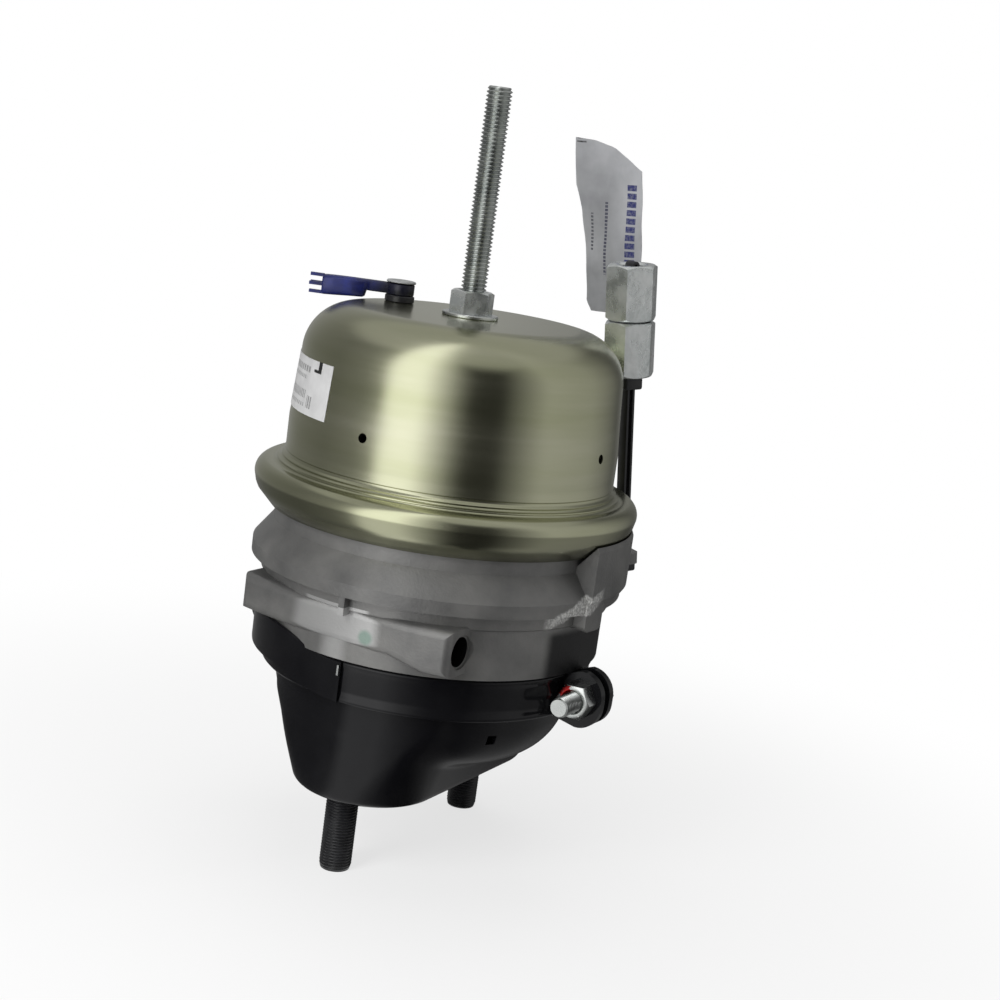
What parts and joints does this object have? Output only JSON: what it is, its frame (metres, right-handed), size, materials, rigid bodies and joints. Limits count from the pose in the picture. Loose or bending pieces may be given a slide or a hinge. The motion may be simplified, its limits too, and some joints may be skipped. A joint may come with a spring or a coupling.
{
  "type": "air brake chamber",
  "caption": "Spring brake chamber: domed spring housing crimped to a cast body, clamped to a pressed bowl with mounting studs, caged by a long release bolt.",
  "frame": {"origin": "centre of the mounting face, between the two studs", "axes": "+Z along the chamber's axis from the mounting face towards the release bolt; the mounting studs lie on the Y axis; the air ports are on the -Y side"},
  "size_m": [0.2026, 0.1966, 0.3845],
  "materials": {
    "black_paint": "satin black coat on pressed steel",
    "black_steel": "satin black coat on steel",
    "dark_steel": "plain steel",
    "spring_steel": "dark coated spring wire",
    "rubber": "matte moulded rubber",
    "cast_aluminium": "matte die-cast surface",
    "plastic_bush": "plain bearing plastic",
    "zinc_steel": "bright zinc plate",
    "passivated_zinc": "satin yellow-green passivated zinc plate",
    "alloy_rod": "turned and smooth",
    "black_plastic": "satin moulded plastic",
    "blue_plastic": "satin moulded plastic",
    "card": "crumpled card with a light print",
    "label_paper": "smooth printed film"
  },
  "bodies": {
    "root": {"service_housing": "black_paint", "mounting_studs": "black_steel", "boot_ring": "black_steel", "rod_boot": "rubber", "return_spring": "spring_steel", "centre_body": "cast_aluminium", "rod_bush": "plastic_bush", "rod_seal": "rubber", "front_clamp": "black_paint", "rear_clamp": "black_paint", "clamp_bolts": "zinc_steel", "clamp_nuts": "zinc_steel", "service_diaphragm": "rubber", "spring_housing": "passivated_zinc", "spring_diaphragm": "rubber", "adapter_spring": "spring_steel", "power_spring": "spring_steel", "release_washer": "zinc_steel", "nut_tie": "black_plastic", "mounting_nuts": "zinc_steel", "tag": "card", "label": "label_paper", "plug_button": "black_plastic", "dust_plug": "blue_plastic"},
    "parking_train": {"pressure_plate": "dark_steel", "release_bolt": "zinc_steel", "adapter_rod": "alloy_rod"},
    "push_rod": {"push_rod": "dark_steel", "push_plate": "dark_steel"},
    "release_nut": {"release_nut": "zinc_steel"}
  },
  "joints": [
    {"name": "parking_stroke", "type": "slide", "parent": "root", "child": "parking_train", "axis": [0, 0, -1], "range_m": [0, 0.057], "deforming": ["power_spring", "adapter_spring", "spring_diaphragm"]},
    {"name": "rod_stroke", "type": "slide", "parent": "root", "child": "push_rod", "axis": [0, 0, -1], "range_m": [0, 0.057], "deforming": ["return_spring", "service_diaphragm", "rod_boot"]},
    {"name": "nut_spin", "type": "hinge", "parent": "root", "child": "release_nut", "pos_m": [0, 0, 0.241], "axis": [0, 0, 1], "range_deg": [0, 10600]}
  ],
  "couplings": [
    {"joint": "rod_stroke", "follows": "parking_stroke", "ratio": 1},
    {"joint": "nut_spin", "follows": "parking_stroke", "rad_per_m": 3215.6}
  ]
}
